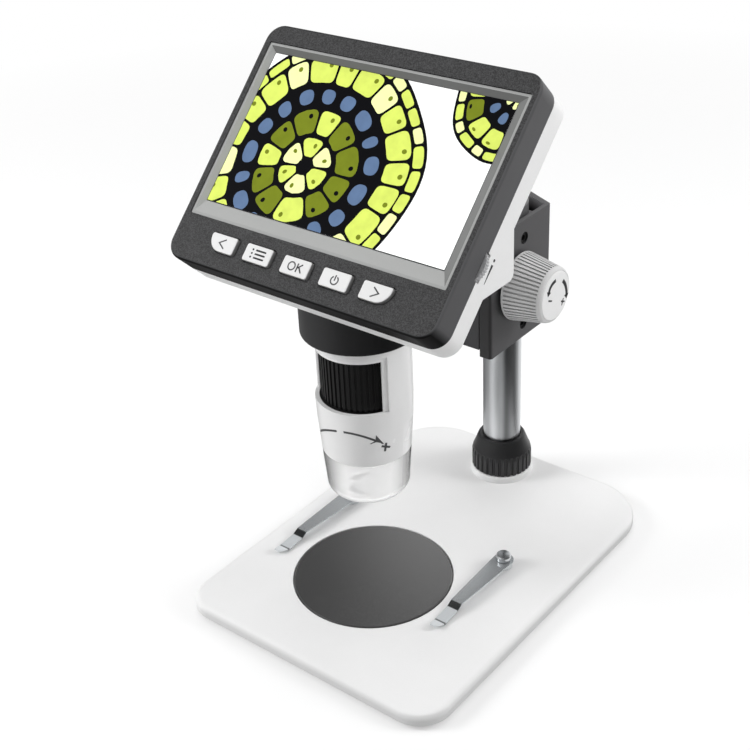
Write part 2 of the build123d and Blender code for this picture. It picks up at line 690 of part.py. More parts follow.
for key_name in key_columns:
    write(f"key_{key_name}", key_cap(key_name))
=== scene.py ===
import math
import random

import bmesh
import bpy
from mathutils import Matrix, Vector


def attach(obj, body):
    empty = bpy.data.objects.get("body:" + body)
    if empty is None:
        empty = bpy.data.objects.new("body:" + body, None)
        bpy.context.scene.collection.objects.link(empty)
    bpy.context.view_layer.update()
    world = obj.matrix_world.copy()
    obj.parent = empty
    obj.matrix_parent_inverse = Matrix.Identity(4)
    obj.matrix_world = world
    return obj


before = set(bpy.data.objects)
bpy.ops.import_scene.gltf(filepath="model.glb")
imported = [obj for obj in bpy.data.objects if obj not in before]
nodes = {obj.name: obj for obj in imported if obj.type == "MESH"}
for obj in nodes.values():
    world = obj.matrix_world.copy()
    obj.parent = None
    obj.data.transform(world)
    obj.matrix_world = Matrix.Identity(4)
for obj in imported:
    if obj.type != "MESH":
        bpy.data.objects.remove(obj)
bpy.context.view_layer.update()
mm = 0.001
print("frame loaded:", len(nodes), "nodes")

scene = bpy.context.scene
scene.view_settings.view_transform = "Standard"


# the screen head's own frame: u across, v up the face, n out of it
headFrame = {"tilt": 45, "y": -27.06, "z": 164.22}  # degrees, and its origin in millimetres
headPlace = (Matrix.Translation((0, headFrame["y"] * mm, headFrame["z"] * mm))
             @ Matrix.Rotation(math.radians(headFrame["tilt"]), 4, "X"))


def onHead(u, v, n):
    return headPlace @ Vector((u * mm, v * mm, n * mm))


def outward(azimuth, elevation):
    # the way out from the object, in degrees round from its front and up from level
    az, el = math.radians(azimuth), math.radians(elevation)
    return Vector((math.sin(az) * math.cos(el), -math.cos(az) * math.cos(el), math.sin(el)))


cameraSetup = {
    "azimuth": 39.74, "elevation": 30.64, "roll": -2.91,  # degrees
    "distance": 0.4614, "target": (-0.00564, -0.0109, 0.08196),  # metres
    "lens": 64.31, "sensor": 36, "clip": (0.01, 20),
}


def makeCamera(setup):
    az, roll = math.radians(setup["azimuth"]), math.radians(setup["roll"])
    back = outward(setup["azimuth"], setup["elevation"])
    right = Vector((math.cos(az), math.sin(az), 0))
    up = back.cross(right)
    across = math.cos(roll) * right + math.sin(roll) * up
    upright = -math.sin(roll) * right + math.cos(roll) * up
    data = bpy.data.cameras.new("benchCamera")
    data.lens, data.sensor_width = setup["lens"], setup["sensor"]
    data.clip_start, data.clip_end = setup["clip"]
    camera = bpy.data.objects.new("benchCamera", data)
    turn = Matrix((across, upright, back)).transposed().to_4x4()
    camera.matrix_world = Matrix.Translation(Vector(setup["target"]) + back * setup["distance"]) @ turn
    scene.collection.objects.link(camera)
    scene.camera = camera


def feed(tree, socket, value):
    # links another node's output, or sets a plain value
    if isinstance(value, bpy.types.NodeSocket):
        tree.links.new(value, socket)
    else:
        socket.default_value = value


def put(tree, kind, inputs=None, **options):
    # adds a shader node; inputs are values or sockets to link, options are its settings
    node = tree.nodes.new("ShaderNode" + kind)
    for key, value in options.items():
        setattr(node, key, value)
    for key, value in (inputs or {}).items():
        feed(tree, node.inputs[key], value)
    return node


def calc(tree, operation, *values):
    node = put(tree, "Math", operation=operation)
    for socket, value in zip(node.inputs, values):
        feed(tree, socket, value)
    return node.outputs[0]


def spread(tree, value, low, high, toLow, toHigh):
    # the range low..high becomes toLow..toHigh
    node = put(tree, "MapRange", {"Value": value, "From Min": low, "From Max": high,
                                  "To Min": toLow, "To Max": toHigh})
    return node.outputs[0]


def blendColour(tree, factor, first, second, mode="MIX"):
    node = tree.nodes.new("ShaderNodeMix")
    node.data_type, node.blend_type = "RGBA", mode
    feed(tree, node.inputs[0], factor)
    for socket, colour in ((node.inputs[6], first), (node.inputs[7], second)):
        feed(tree, socket, colour if isinstance(colour, bpy.types.NodeSocket) else (*colour[:3], 1))
    return node.outputs[2]


def toned(colour, gain):
    return [min(1, c * gain) for c in colour]


studio = {
    "ambient": 0.49,
    # what metal sees level with it: place round the object, brightness
    "ring": ((0.0, 0.9), (0.102, 1.0), (0.122, 0.08), (0.18, 0.06), (0.29, 0.34), (0.43, 0.62),
             (0.55, 0.26), (0.66, 0.05), (0.80, 0.08), (0.90, 0.50), (0.96, 0.95), (1.0, 0.9)),
    "ringCentre": (0.0, 0.06), "overhead": (0.60, 0.70), "overheadLevel": 0.14,
    "floorColour": 0.60, "floorLift": 0.350, "floorSize": 3.0, "floorFade": (0.30, 0.7),
    "lampAim": (0, 0, 0.08),
    "lamps": {
        "keyBox": {"azimuth": -48, "elevation": 27, "distance": 0.95, "size": 0.45, "power": 5.6},
        "sideBox": {"azimuth": 122, "elevation": 26, "distance": 0.9, "size": 0.45, "power": 3.6},
        "topBox": {"azimuth": 190, "elevation": 80, "distance": 1.0, "size": 0.8, "power": 3.0},
    },
}


def greyRamp(tree, place, stops):
    # stops are pairs of place and grey level, both from 0 to 1
    ramp = put(tree, "ValToRGB")
    ramp.color_ramp.interpolation = "EASE"
    tree.links.new(place, ramp.inputs[0])
    marks = ramp.color_ramp.elements
    while len(marks) < len(stops):
        marks.new(0.5)
    for mark, (position, level) in zip(marks, stops):
        mark.position, mark.color = position, (level, level, level, 1)
    return ramp.outputs["Color"]


def studioRing(tree, x, y, stops):
    # place 0.5 is the front, and a full turn runs from 0 to 1
    azimuth = calc(tree, "ARCTAN2", x, calc(tree, "MULTIPLY", y, -1.0))
    return greyRamp(tree, calc(tree, "MULTIPLY_ADD", azimuth, 0.5 / math.pi, 0.5), stops)


def makeWorld(look):
    world = bpy.data.worlds.new("studioWorld")
    world.use_nodes = True
    scene.world = world
    tree = world.node_tree
    tree.nodes.clear()
    path = put(tree, "LightPath").outputs
    way = put(tree, "SeparateXYZ", {"Vector": put(tree, "TexCoord").outputs["Generated"]}).outputs
    ring = studioRing(tree, way["X"], way["Y"], look["ring"])
    overhead = spread(tree, way["Z"], *look["overhead"], 0.0, 1.0)
    ring = blendColour(tree, overhead, ring, (look["overheadLevel"],) * 3)
    direct = calc(tree, "MAXIMUM", path["Is Camera Ray"], path["Is Transmission Ray"])
    colour = blendColour(tree, direct, ring, (1, 1, 1))
    seen = put(tree, "Background", {"Color": colour, "Strength": 1.0}).outputs[0]
    soft = put(tree, "Background", {"Color": (1, 1, 1, 1), "Strength": look["ambient"]}).outputs[0]
    shown = calc(tree, "MAXIMUM", direct, path["Is Glossy Ray"])
    mix = put(tree, "MixShader", {0: shown, 1: soft, 2: seen})
    tree.links.new(mix.outputs[0], put(tree, "OutputWorld").inputs["Surface"])


def makeFloor(look):
    half = look["floorSize"]
    mesh = bpy.data.meshes.new("benchFloor")
    mesh.from_pydata([(-half, -half, 0), (half, -half, 0), (half, half, 0), (-half, half, 0)], [],
                     [(0, 1, 2, 3)])
    floor = bpy.data.objects.new("benchFloor", mesh)
    scene.collection.objects.link(floor)
    material = bpy.data.materials.new("paleFloor")
    material.use_nodes = True
    tree = material.node_tree
    tree.nodes.clear()
    path = put(tree, "LightPath").outputs
    spot = put(tree, "TexCoord").outputs["Object"]
    place = put(tree, "SeparateXYZ", {"Vector": spot}).outputs
    centreX, centreY = look["ringCentre"]
    ring = studioRing(tree, calc(tree, "SUBTRACT", place["X"], centreX),
                      calc(tree, "SUBTRACT", place["Y"], centreY), look["ring"])
    away = put(tree, "VectorMath", {0: spot}, operation="LENGTH").outputs["Value"]
    pale = (look["floorColour"],) * 3 + (1,)
    matte = put(tree, "BsdfDiffuse", {"Color": pale}).outputs[0]
    lift = put(tree, "Emission", {"Strength": look["floorLift"]}).outputs[0]
    near = put(tree, "AddShader", {0: matte, 1: lift}).outputs[0]
    white = put(tree, "Emission", {"Strength": 1.0}).outputs[0]
    far = spread(tree, away, *look["floorFade"], 0.0, 1.0)
    shown = put(tree, "MixShader", {0: far, 1: near, 2: white}).outputs[0]
    mirrored = put(tree, "Emission", {"Color": ring, "Strength": 1.0}).outputs[0]
    direct = calc(tree, "MAXIMUM", path["Is Camera Ray"], path["Is Transmission Ray"])
    body = put(tree, "MixShader", {0: direct, 1: matte, 2: shown}).outputs[0]
    final = put(tree, "MixShader", {0: path["Is Glossy Ray"], 1: body, 2: mirrored}).outputs[0]
    tree.links.new(final, put(tree, "OutputMaterial").inputs["Surface"])
    mesh.materials.append(material)


def makeLamps(look):
    for name, lamp in look["lamps"].items():
        back = outward(lamp["azimuth"], lamp["elevation"])
        data = bpy.data.lights.new(name, "AREA")
        data.shape, data.size, data.energy = "DISK", lamp["size"], lamp["power"]
        light = bpy.data.objects.new(name, data)
        light.location = Vector(look["lampAim"]) + back * lamp["distance"]
        light.rotation_euler = back.to_track_quat("Z", "Y").to_euler()
        light.visible_glossy = False  # metal shows the studio ring, not the lamps
        scene.collection.objects.link(light)


makeCamera(cameraSetup)
makeWorld(studio)
makeFloor(studio)
makeLamps(studio)
print("camera and studio ready")


def newFinish(name):
    material = bpy.data.materials.new(name)
    material.use_nodes = True
    tree = material.node_tree
    return material, tree, tree.nodes["Principled BSDF"]


def noise(tree, where, size, detail=2.0, roughness=0.5):
    # size is the width of one blotch in millimetres
    return put(tree, "TexNoise", {"Vector": where, "Scale": 1 / (size * mm), "Detail": detail,
                                  "Roughness": roughness}).outputs[0]


# an edge is where the rounded normal turns off the true one: their match at its start, and in full
edgeFinder = {"samples": 6, "match": (0.995, 0.86)}
noiseSpan = (0.3, 0.7)  # the middle of a noise's range


def edgeMask(tree, radius):
    # 1 along hard edges, 0 on open faces
    soft = put(tree, "Bevel", {"Radius": radius * mm}, samples=edgeFinder["samples"]).outputs[0]
    hard = put(tree, "NewGeometry").outputs["True Normal"]
    match = put(tree, "VectorMath", {0: soft, 1: hard}, operation="DOT_PRODUCT").outputs["Value"]
    return soft, spread(tree, match, *edgeFinder["match"], 0.0, 1.0)


# painted light along hard edges: a tone above one is a painted highlight, below one painted shade
def paintedEdgeLight(tree, look, tone, edge):
    if look["edgeTone"] == 1:
        return tone
    return blendColour(tree, calc(tree, "MULTIPLY", edge, look["edgeMix"]), tone,
                       toned(look["colour"], look["edgeTone"]))


def paintedSideShade(tree, look, tone):
    # painted light and shade: faces that look one way, in the object's own axes, take a lighter or darker
    # tone: way, from, full, gain
    for way, low, high, gain in look["sides"]:
        normal = put(tree, "TexCoord").outputs["Normal"]
        turned = put(tree, "VectorMath", {0: normal, 1: way}, operation="DOT_PRODUCT").outputs["Value"]
        tone = blendColour(tree, spread(tree, turned, low, high, 0, 1), tone, toned(look["colour"], gain))
    return tone


def paintedHollowShade(tree, look, tone, where):
    # painted light and shade: grooves and corners, found by ambient occlusion, take a darker or lighter
    # tone, above a height in millimetres
    reach, low, high, gain, height = look["hollow"]
    air = put(tree, "AmbientOcclusion", {"Distance": reach * mm}, samples=6).outputs["AO"]
    level = put(tree, "SeparateXYZ", {"Vector": where}).outputs["Z"]
    rise = spread(tree, level, height * mm, (height + look["hollowFade"]) * mm, 0, 1)
    deep = calc(tree, "MULTIPLY", spread(tree, air, low, high, 1, 0), rise)
    return blendColour(tree, deep, tone, toned(look["colour"], gain))


def grainBump(tree, look, shader, height, normal):
    bump = put(tree, "Bump", {"Height": height, "Normal": normal, "Strength": look["bump"],
                              "Distance": look["grainDepth"] * mm})
    tree.links.new(bump.outputs[0], shader.inputs["Normal"])


# a plastic's own dictionary changes any of these; sizes in millimetres
plasticBasics = {
    "drift": 0.03, "driftSize": 22,  # broad change of tone
    "fleck": 0.03, "fleckSize": 0.5,
    "roughness": (0.38, 0.46), "specular": 0.5, "coatRoughness": 0.12,
    # edgeTone paints light along hard edges: a painted highlight above one, painted shade below
    "softEdge": 0.25, "edgeTone": 1, "edgeMix": 0.6,
    "grain": 0.3, "grainDepth": 0.01, "bump": 0.3,
    # sides paints light and shade by the way a face looks; hollow paints it in grooves and corners
    "sides": (), "hollowFade": 6,
}


def plastic(name, look):
    look = {**plasticBasics, **look}
    material, tree, shader = newFinish(name)
    where = put(tree, "TexCoord").outputs["Object"]
    colour = look["colour"]
    broad = noise(tree, where, look["driftSize"], 3)
    tone = blendColour(tree, spread(tree, broad, *noiseSpan, 0, 1),
                       toned(colour, 1 - look["drift"]), toned(colour, 1 + look["drift"]))
    fleck = noise(tree, where, look["fleckSize"], 2, 0.7)
    flecked = blendColour(tree, 1.0, tone, (1 - look["fleck"],) * 3, "MULTIPLY")
    tone = blendColour(tree, spread(tree, fleck, 0.35, 0.65, 0, 1), flecked, tone)
    tone = paintedSideShade(tree, look, tone)
    if "hollow" in look:
        tone = paintedHollowShade(tree, look, tone, where)
    soft, edge = edgeMask(tree, look["softEdge"])
    tree.links.new(paintedEdgeLight(tree, look, tone, edge), shader.inputs["Base Color"])
    tree.links.new(spread(tree, broad, *noiseSpan, *look["roughness"]), shader.inputs["Roughness"])
    grainBump(tree, look, shader, noise(tree, where, look["grain"], 3, 0.6), soft)
    shader.inputs["Specular IOR Level"].default_value = look["specular"]
    if "coat" in look:
        shader.inputs["Coat Weight"].default_value = look["coat"]
        shader.inputs["Coat Roughness"].default_value = look["coatRoughness"]
    return material


# a metal's own dictionary changes any of these; brush stretches its lines along an axis
metalBasics = {
    "brush": (1, 1, 1), "lineSize": 0.25, "vary": 0.08, "driftSize": 14,
    "roughness": (0.22, 0.34), "metallic": 1.0, "specular": 0.5,
    # edgeTone paints light along hard edges: a painted highlight above one, painted shade below
    "softEdge": 0.2, "edgeTone": 1, "edgeMix": 0.6, "grainDepth": 0.006, "bump": 0.2,
}


def metal(name, look):
    look = {**metalBasics, **look}
    material, tree, shader = newFinish(name)
    where = put(tree, "TexCoord").outputs["Object"]
    stretch = put(tree, "Mapping", {"Vector": where, "Scale": look["brush"]}).outputs[0]
    lines = noise(tree, stretch, look["lineSize"], 4, 0.65)
    broad = noise(tree, where, look["driftSize"], 3)
    tone = blendColour(tree, spread(tree, lines, *noiseSpan, 0, 1),
                       toned(look["colour"], 1 - look["vary"]), look["colour"])
    soft, edge = edgeMask(tree, look["softEdge"])
    tree.links.new(paintedEdgeLight(tree, look, tone, edge), shader.inputs["Base Color"])
    mixed = calc(tree, "MULTIPLY_ADD", lines, 0.5, calc(tree, "MULTIPLY", broad, 0.5))
    tree.links.new(spread(tree, mixed, *noiseSpan, *look["roughness"]), shader.inputs["Roughness"])
    shader.inputs["Metallic"].default_value = look["metallic"]
    shader.inputs["Specular IOR Level"].default_value = look["specular"]
    grainBump(tree, look, shader, lines, soft)
    return material


def repaint(material):
    # hands back what feeds the material's colour, so that a finish can add to it
    shader = material.node_tree.nodes["Principled BSDF"]
    return material.node_tree, shader, shader.inputs["Base Color"].links[0].from_socket


def paintedReflectionMetal(name, look, bands):
    # painted reflection: light and dark bands down the tube's length, by degrees round from the front
    material = metal(name, look)
    tree, shader, tone = repaint(material)
    normal = put(tree, "SeparateXYZ", {"Vector": put(tree, "TexCoord").outputs["Normal"]}).outputs
    stops = [((degrees + 180) / 360, level) for degrees, level in bands]
    shade = studioRing(tree, normal["X"], normal["Y"], stops)
    tree.links.new(blendColour(tree, 1.0, tone, shade, "MULTIPLY"), shader.inputs["Base Color"])
    return material


def foldShadedSteel(name, look, folds):
    # spring strip: its tone by millimetres of depth, with painted shade where it folds, and a duller foot
    # in front of the step
    material = metal(name, look)
    tree, shader, tone = repaint(material)
    along = put(tree, "SeparateXYZ", {"Vector": put(tree, "TexCoord").outputs["Object"]}).outputs["Y"]
    front, back = folds["tones"][0][0], folds["tones"][-1][0]
    stops = [((place - front) / (back - front), level) for place, level in folds["tones"]]
    shade = greyRamp(tree, spread(tree, along, front * mm, back * mm, 0, 1), stops)
    tree.links.new(blendColour(tree, 1.0, tone, shade, "MULTIPLY"), shader.inputs["Base Color"])
    foot, metallic, fade = folds["foot"]
    shine = spread(tree, along, (foot - fade) * mm, (foot + fade) * mm, metallic, look["metallic"])
    tree.links.new(shine, shader.inputs["Metallic"])
    return material


clearBasics = {"hazeSize": 3, "ior": 1.49, "specular": 0.5}


def clearPlastic(name, look):
    look = {**clearBasics, **look}
    material, tree, shader = newFinish(name)
    where = put(tree, "TexCoord").outputs["Object"]
    haze = noise(tree, where, look["hazeSize"], 3)
    shader.inputs["Base Color"].default_value = (*look["colour"], 1)
    tree.links.new(spread(tree, haze, *noiseSpan, *look["roughness"]), shader.inputs["Roughness"])
    shader.inputs["Transmission Weight"].default_value = look["clear"]
    if "rim" in look:
        # painted shade: the wall's colour darkens where it is seen edge on; its lip stays pale and is less
        # clear
        start, full, dark = look["rim"]
        bottom, top, lipClear = look["lip"]
        slant = put(tree, "LayerWeight", {"Blend": 0.5}).outputs["Facing"]
        tone = blendColour(tree, spread(tree, slant, start, full, 0, 1), look["colour"], (dark,) * 3)
        height = put(tree, "SeparateXYZ", {"Vector": where}).outputs["Z"]
        lip = spread(tree, height, bottom * mm, top * mm, 1, 0)
        tree.links.new(blendColour(tree, lip, tone, look["colour"]), shader.inputs["Base Color"])
        seeThrough = spread(tree, lip, 0, 1, look["clear"], lipClear)
        tree.links.new(seeThrough, shader.inputs["Transmission Weight"])
        # a faint glow stands for the lamps' light in the wall: first the wall, then the lip
        squareOn = spread(tree, slant, start, full, 1, 0)
        glow = calc(tree, "MULTIPLY", spread(tree, lip, 0, 1, *look["glow"]), squareOn)
        shader.inputs["Emission Color"].default_value = (1, 1, 1, 1)
        tree.links.new(glow, shader.inputs["Emission Strength"])
    shader.inputs["IOR"].default_value = look["ior"]
    shader.inputs["Specular IOR Level"].default_value = look["specular"]
    return material


boardBasics = {
    "trackTone": 1.9, "trackEdge": (0.06, 0.1), "padEdge": (0.14, 0.18), "trackDepth": 0.03, "bump": 0.4,
    "roughness": (0.35, 0.2),  # mask, pad
}


def boardFinish(name, look):
    # solder mask over thin copper tracks, with tinned pads
    look = {**boardBasics, **look}
    material, tree, shader = newFinish(name)
    where = put(tree, "TexCoord").outputs["Object"]
    cells = put(tree, "TexVoronoi", {"Vector": where, "Scale": 1 / (look["trackPitch"] * mm)},
                feature="DISTANCE_TO_EDGE").outputs[0]
    track = spread(tree, cells, *look["trackEdge"], 1.0, 0.0)
    dots = put(tree, "TexVoronoi", {"Vector": where, "Scale": 1 / (look["padPitch"] * mm)}).outputs[0]
    pad = spread(tree, dots, *look["padEdge"], 1.0, 0.0)
    tone = blendColour(tree, track, look["colour"], [c * look["trackTone"] for c in look["colour"]])
    tone = blendColour(tree, pad, tone, look["padColour"])
    tree.links.new(tone, shader.inputs["Base Color"])
    tree.links.new(spread(tree, pad, 0, 1, *look["roughness"]), shader.inputs["Roughness"])
    tree.links.new(pad, shader.inputs["Metallic"])
    bump = put(tree, "Bump", {"Height": track, "Strength": look["bump"],
                              "Distance": look["trackDepth"] * mm})
    tree.links.new(bump.outputs[0], shader.inputs["Normal"])
    return material


def bezelGrainAndShade(name, look, face):
    # spark-grained front over smooth sides; painted shade darkens the faces turned up or down, and those
    # turned down shine less
    material = plastic(name, look)
    tree, shader, tone = repaint(material)
    coords = put(tree, "TexCoord").outputs
    front = put(tree, "VectorMath", {0: coords["Normal"], 1: face["way"]},
                operation="DOT_PRODUCT").outputs["Value"]
    fleck = noise(tree, coords["Object"], face["fleckSize"], 2, 0.75)
    low, high = face["tones"]
    grained = blendColour(tree, spread(tree, fleck, *face["fleckCut"], 0, 1), (low,) * 3,
                          (high, high, high * face["blue"]))
    tone = blendColour(tree, spread(tree, front, *face["frontCut"], 0, 1), tone, grained)
    down = put(tree, "VectorMath", {0: coords["Normal"], 1: face["down"]},
               operation="DOT_PRODUCT").outputs["Value"]
    under = spread(tree, down, *face["downCut"], 0, 1)
    tone = blendColour(tree, under, tone, toned(look["colour"], face["under"]))
    tree.links.new(spread(tree, under, 0, 1, *face["specular"]), shader.inputs["Specular IOR Level"])
    upward = put(tree, "SeparateXYZ", {"Vector": coords["Normal"]}).outputs["Z"]
    tone = blendColour(tree, spread(tree, upward, *face["topCut"], 0, 1), tone,
                       toned(look["colour"], face["top"]))
    tree.links.new(tone, shader.inputs["Base Color"])
    return material


def dress(material, names):
    for name in names:
        slots = nodes[name].data.materials
        if not len(slots):
            slots.append(material)
        for k in range(len(slots)):
            slots[k] = material


# the stand
# painted shade: the base's faces turned to the front and right are darker
baseWhite = {"colour": (0.83, 0.83, 0.83), "roughness": (0.36, 0.44), "fleck": 0.02, "drift": 0.015,
             "grain": 0.35, "grainDepth": 0.012, "bump": 0.35, "softEdge": 0.5,
             "sides": (((0.7071, -0.7071, 0), 0.4, 0.68, 0.84),)}
stageDark = {"colour": (0.056, 0.056, 0.056), "roughness": (0.1, 0.13), "fleck": 0.12, "fleckSize": 0.25,
             "grain": 0.25, "grainDepth": 0.002, "softEdge": 0.3, "specular": 1.0, "edgeTone": 0.5,
             "coat": 0.8}
steelScrew = {"colour": (0.62, 0.63, 0.65), "roughness": (0.25, 0.4), "lineSize": 0.3, "softEdge": 0.15}
coverGrey = {"colour": (0.55, 0.55, 0.56), "roughness": (0.5, 0.6), "fleck": 0.06, "grain": 0.5,
             "grainDepth": 0.04}
matRubber = {"colour": (0.035, 0.035, 0.037), "roughness": (0.75, 0.9), "fleck": 0.25, "fleckSize": 0.4,
             "grain": 0.6, "grainDepth": 0.06, "bump": 0.6, "specular": 0.3}
studSteel = {"colour": (0.86, 0.88, 0.90), "metallic": 0.95, "roughness": (0.10, 0.16), "lineSize": 0.4}
clipSteel = {"colour": (0.72, 0.75, 0.77), "metallic": 0.8, "roughness": (0.18, 0.26),
             "brush": (1, 0.08, 1), "lineSize": 0.25, "edgeTone": 1.3}
dress(plastic("baseWhite", baseWhite), ["base_plate"])
dress(plastic("stageDark", stageDark), ["stage_disc"])
dress(plastic("coverGrey", coverGrey), ["base_cover"])
dress(plastic("matRubber", matRubber), ["rubber_mat"])
dress(metal("studSteel", studSteel), ["clip_studs"])
clipFoldShade = {  # painted shade where the strip folds; the foot's start, its metallic and how fast it fades
    "tones": ((-37, 0.95), (-32.4, 1.0), (-32.1, 0.15), (-31.6, 0.15), (-31.3, 1.0), (-24.8, 1.0),
              (-24.4, 0.12), (-22.4, 0.12), (-22.0, 1.0), (-20, 1.0)),
    "foot": (-24.6, 0.3, 0.2),
}
dress(foldShadedSteel("clipSteel", clipSteel, clipFoldShade), ["clip_right", "clip_left"])
dress(metal("steelScrew", steelScrew), [
    "cover_screws", "clip_nuts", "pillar_insert", "pillar_bolt", "pillar_washer", "arm_screws",
    "collar_screws", "shell_screws"])
plateSteel = {"colour": (0.5, 0.51, 0.53), "roughness": (0.4, 0.55), "lineSize": 0.8, "vary": 0.2}
dress(metal("plateSteel", plateSteel), ["base_weight"])

# the pillar, its ring and the bracket
pillarMetal = {"colour": (0.93, 0.95, 0.97), "roughness": (0.36, 0.40), "brush": (1, 1, 0.04),
               "lineSize": 0.35, "vary": 0.04, "grainDepth": 0.002, "softEdge": 0.3}
# painted highlight: the lock ring's edges are much lighter
ringBlack = {"colour": (0.020, 0.020, 0.021), "roughness": (0.30, 0.38), "fleck": 0.2, "grain": 0.3,
             "grainDepth": 0.02, "softEdge": 0.25, "edgeTone": 3.4, "edgeMix": 0.8, "specular": 0.5}
# painted shade: the bracket's faces turned to the front are darker; painted light: its hollows above 116 mm
# are lighter
bracketDark = {"colour": (0.075, 0.074, 0.077), "roughness": (0.4, 0.48), "fleck": 0.08, "fleckSize": 0.3,
               "grain": 0.25, "grainDepth": 0.012, "softEdge": 0.3, "edgeTone": 1.6, "edgeMix": 0.5,
               "sides": (((0, -1, 0), 0.3, 0.8, 0.3),), "hollow": (30, 0.35, 0.6, 7.0, 116)}
# painted reflection: light and dark bands round the pillar, as degrees from the front and level
pillarReflectionBands = ((-60, 0.75), (-14, 0.62), (9, 1.0), (30, 0.58), (47, 0.24), (70, 0.5), (93, 0.95),
               (140, 1.0))
dress(paintedReflectionMetal("pillarMetal", pillarMetal, pillarReflectionBands), ["pillar_tube"])
dress(plastic("ringBlack", ringBlack), ["lock_ring"])
dress(plastic("bracketDark", bracketDark), ["bracket_channel"])
capDark = {"colour": (0.15, 0.15, 0.153), "roughness": (0.4, 0.55), "softEdge": 0.4}
dress(plastic("capDark", capDark), ["pillar_cap"])
blockDark = {"colour": (0.30, 0.30, 0.31), "metallic": 0.3, "roughness": (0.45, 0.6), "edgeTone": 1.4}
dress(metal("blockDark", blockDark), ["clamp_blocks"])
screwDark = {"colour": (0.02, 0.02, 0.02), "metallic": 0.5, "roughness": (0.35, 0.5)}
dress(metal("screwDark", screwDark), ["bracket_screws"])
brassTurned = {"colour": (0.66, 0.48, 0.2), "roughness": (0.25, 0.4), "lineSize": 0.2}
dress(metal("brassTurned", brassTurned), ["shaft_bushes", "focus_rack"])
carriageDark = {"colour": (0.04, 0.04, 0.043), "roughness": (0.4, 0.5), "softEdge": 0.35,
                "edgeTone": 2.0}
dress(plastic("carriageDark", carriageDark), ["lift_carriage"])

# the focus drive
# painted shade: the grooves between the knob's ribs are darker
knobGrey = {"colour": (0.68, 0.68, 0.68), "roughness": (0.42, 0.52), "fleck": 0.05, "grain": 0.3,
            "grainDepth": 0.02, "softEdge": 0.2, "edgeTone": 1.5, "edgeMix": 0.5,
            "hollow": (1.6, 0.40, 0.85, 0.48, 0)}
knobCap = {"colour": (0.84, 0.84, 0.84), "roughness": (0.36, 0.44), "softEdge": 0.3}
shaftSteel = {"colour": (0.6, 0.61, 0.63), "roughness": (0.2, 0.3), "brush": (1, 0.1, 0.1)}
dress(plastic("knobGrey", knobGrey), ["knob_right", "knob_left"])
dress(plastic("knobCap", knobCap), ["knob_caps"])
dress(metal("shaftSteel", shaftSteel), ["pinion_shaft"])

# collar and lens tube
# painted highlight: the collar's and the rib ring's edges are much lighter
collarBlack = {"colour": (0.008, 0.008, 0.009), "roughness": (0.30, 0.36), "fleck": 0.1, "softEdge": 0.4,
               "edgeTone": 3.0, "specular": 0.5}
tubeWhite = {"colour": (0.81, 0.81, 0.81), "roughness": (0.22, 0.28), "drift": 0.01, "fleck": 0.01,
             "softEdge": 0.3, "coat": 0.3}
ribBlack = {"colour": (0.006, 0.006, 0.006), "roughness": (0.35, 0.5), "softEdge": 0.15, "edgeTone": 4.0,
            "specular": 0.3}
barrelBlack = {"colour": (0.015, 0.015, 0.016), "roughness": (0.35, 0.45), "softEdge": 0.2}
guideBlack = {"colour": (0.018, 0.018, 0.018), "roughness": (0.6, 0.7)}
# rim is painted shade where the cap's wall is seen edge on; glow is painted light in the wall and lip
capClear = {"colour": (0.98, 0.98, 0.98), "roughness": (0.08, 0.14), "clear": 0.58, "ior": 1.24,
            "rim": (0.34, 0.84, 0.03), "lip": (47.6, 49.4, 0.1), "glow": (0.07, 0.32), "specular": 0.2}
lensGlass = {"colour": (0.86, 0.9, 0.95), "roughness": (0.0, 0.02), "clear": 1.0, "ior": 1.6}
dress(plastic("collarBlack", collarBlack), ["tube_collar"])
dress(plastic("tubeWhite", tubeWhite), ["tube_shell"])
dress(plastic("ribBlack", ribBlack), ["focus_ring"])
dress(plastic("barrelBlack", barrelBlack), ["lens_barrel"])
dress(plastic("guideBlack", guideBlack), ["barrel_guide", "sensor_holder"])
dress(clearPlastic("capClear", capClear), ["front_cap"])
dress(clearPlastic("lensGlass", lensGlass), ["lens_glasses"])
lampBoard = {"colour": (0.62, 0.62, 0.6), "padColour": (0.7, 0.7, 0.68), "trackPitch": 2.4, "padPitch": 3.0}
greenBoard = {"colour": (0.012, 0.11, 0.045), "padColour": (0.72, 0.7, 0.62), "trackPitch": 2.0,
              "padPitch": 2.6}
dress(boardFinish("lampBoard", lampBoard), ["led_board"])
dress(boardFinish("greenBoard", greenBoard), ["main_board", "sensor_board"])
lampPhosphor = {"colour": (0.8, 0.66, 0.16), "roughness": (0.35, 0.45), "grain": 0.15}
dress(plastic("lampPhosphor", lampPhosphor), ["ring_leds"])
sensorGlass = {"colour": (0.02, 0.025, 0.05), "roughness": (0.05, 0.1), "specular": 0.8}
dress(plastic("sensorGlass", sensorGlass), ["image_sensor"])

# the screen head
# painted shade: the bezel's faces turned left and right are darker
bezelDark = {"colour": (0.110, 0.110, 0.114), "roughness": (0.44, 0.52), "fleck": 0.06,
             "fleckSize": 0.55, "grain": 0.3, "grainDepth": 0.012, "bump": 0.4, "softEdge": 0.35,
             "edgeTone": 1.15, "sides": (((1, 0, 0), 0.5, 0.9, 0.85), ((-1, 0, 0), 0.5, 0.9, 0.7))}
# painted shade: the faces turned down and the faces turned up are darker
bezelFace = {"way": (0, -0.7071, 0.7071), "frontCut": (0.9, 0.98), "tones": (0.024, 0.082),
             "fleckSize": 0.42, "fleckCut": (0.36, 0.64), "blue": 1.03,
             "down": (0, -0.7071, -0.7071), "downCut": (0.15, 0.6), "under": 0.08,
             "specular": (0.5, 0.04), "topCut": (0.78, 0.9), "top": 0.3}
shellWhite = {"colour": (0.86, 0.86, 0.86), "roughness": (0.34, 0.42), "drift": 0.012, "fleck": 0.015,
              "softEdge": 0.4}
